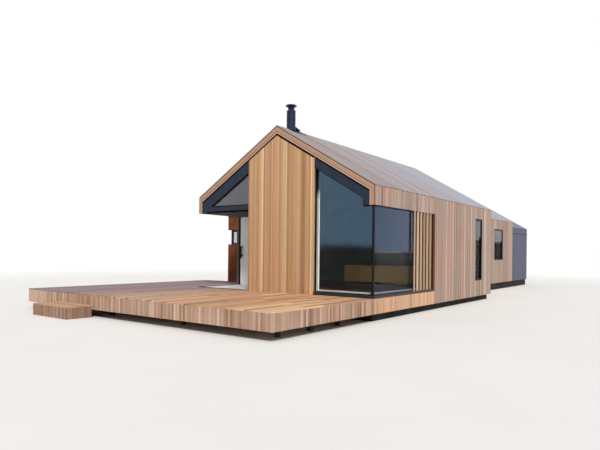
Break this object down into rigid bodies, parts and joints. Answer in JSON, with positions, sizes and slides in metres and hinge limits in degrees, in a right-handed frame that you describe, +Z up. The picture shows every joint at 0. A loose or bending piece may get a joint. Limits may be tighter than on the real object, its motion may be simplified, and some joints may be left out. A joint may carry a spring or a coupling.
{
  "type": "timber-clad house with deck",
  "caption": "Single-storey pitched-roof house clad in timber boards, with a glazed corner, an open corner, a raised deck, a flat-roofed mesh-clad wing and a flue.",
  "frame": {"origin": "middle of the footprint box on the ground", "axes": "+X right along the front gable, +Y back along the ridge, +Z up"},
  "size_m": [9.37, 25.42, 6.08],
  "materials": {
    "weathered_larch": "bare vertical larch boards, weathered pinkish grey-beige",
    "warm_larch": "bare vertical larch boards, warm honey brown",
    "roof_larch": "bare larch boards laid down the slope, silvered",
    "deck_larch": "grooved timber deck boards, part weathered",
    "framing_timber": "rough treated framing timber",
    "lining": "white painted lining boards over timber framing",
    "bench_timber": "golden brown oiled panels",
    "soffit_board": "grey-brown stained soffit board",
    "floor_finish": "pale polished screed",
    "concrete": "dark recessed base",
    "dark_metal": "anthracite powder coat, satin",
    "grey_ribbed_metal": "grey-blue finely ribbed coated sheet",
    "flue_metal": "matt black stove enamel",
    "rusted_mesh": "expanded steel mesh rusted red-brown",
    "glazing": "clear double glazing, slightly grey-blue"
  },
  "bodies": {
    "root": {"base": "concrete", "floor": "floor_finish", "side_walls": "lining", "wall_infill": "lining", "back_wall": "lining", "gable_wall": "lining", "side_boards": "weathered_larch", "back_boards": "weathered_larch", "gable_boards": "warm_larch", "main_roof": "lining", "main_roof_boards": "roof_larch", "front_verge": "warm_larch", "front_trim": "dark_metal", "corner_beam": "dark_metal", "corner_soffit": "soffit_board", "front_frame": "dark_metal", "front_glass": "glazing", "corner_post": "dark_metal", "side_frame": "dark_metal", "side_glass": "glazing", "corner_sill": "dark_metal", "slats": "warm_larch", "window_frames": "dark_metal", "window_glass": "glazing", "door_tracks": "dark_metal", "door_jamb": "weathered_larch", "door_frames": "dark_metal", "door_glass": "glazing", "deck_boards": "deck_larch", "deck_skirt": "deck_larch", "deck_joists": "framing_timber", "deck_posts": "framing_timber", "step": "deck_larch", "wing_walls": "lining", "wing_mesh": "rusted_mesh", "wing_roof": "dark_metal", "rear_walls": "lining", "rear_gable_walls": "lining", "rear_side_boards": "weathered_larch", "rear_gable_boards": "weathered_larch", "rear_roof": "lining", "rear_roof_boards": "roof_larch", "end_walls": "lining", "end_back_wall": "lining", "end_roof": "lining", "end_side_skin": "grey_ribbed_metal", "end_gable_skin": "grey_ribbed_metal", "end_roof_skin": "grey_ribbed_metal", "flue_flashing": "dark_metal", "flue_pipe": "flue_metal", "flue_cowl": "flue_metal", "inner_frame": "lining", "corner_reveal": "warm_larch", "jamb_post": "dark_metal", "jamb_panel": "lining", "bench": "bench_timber"}
  },
  "joints": []
}
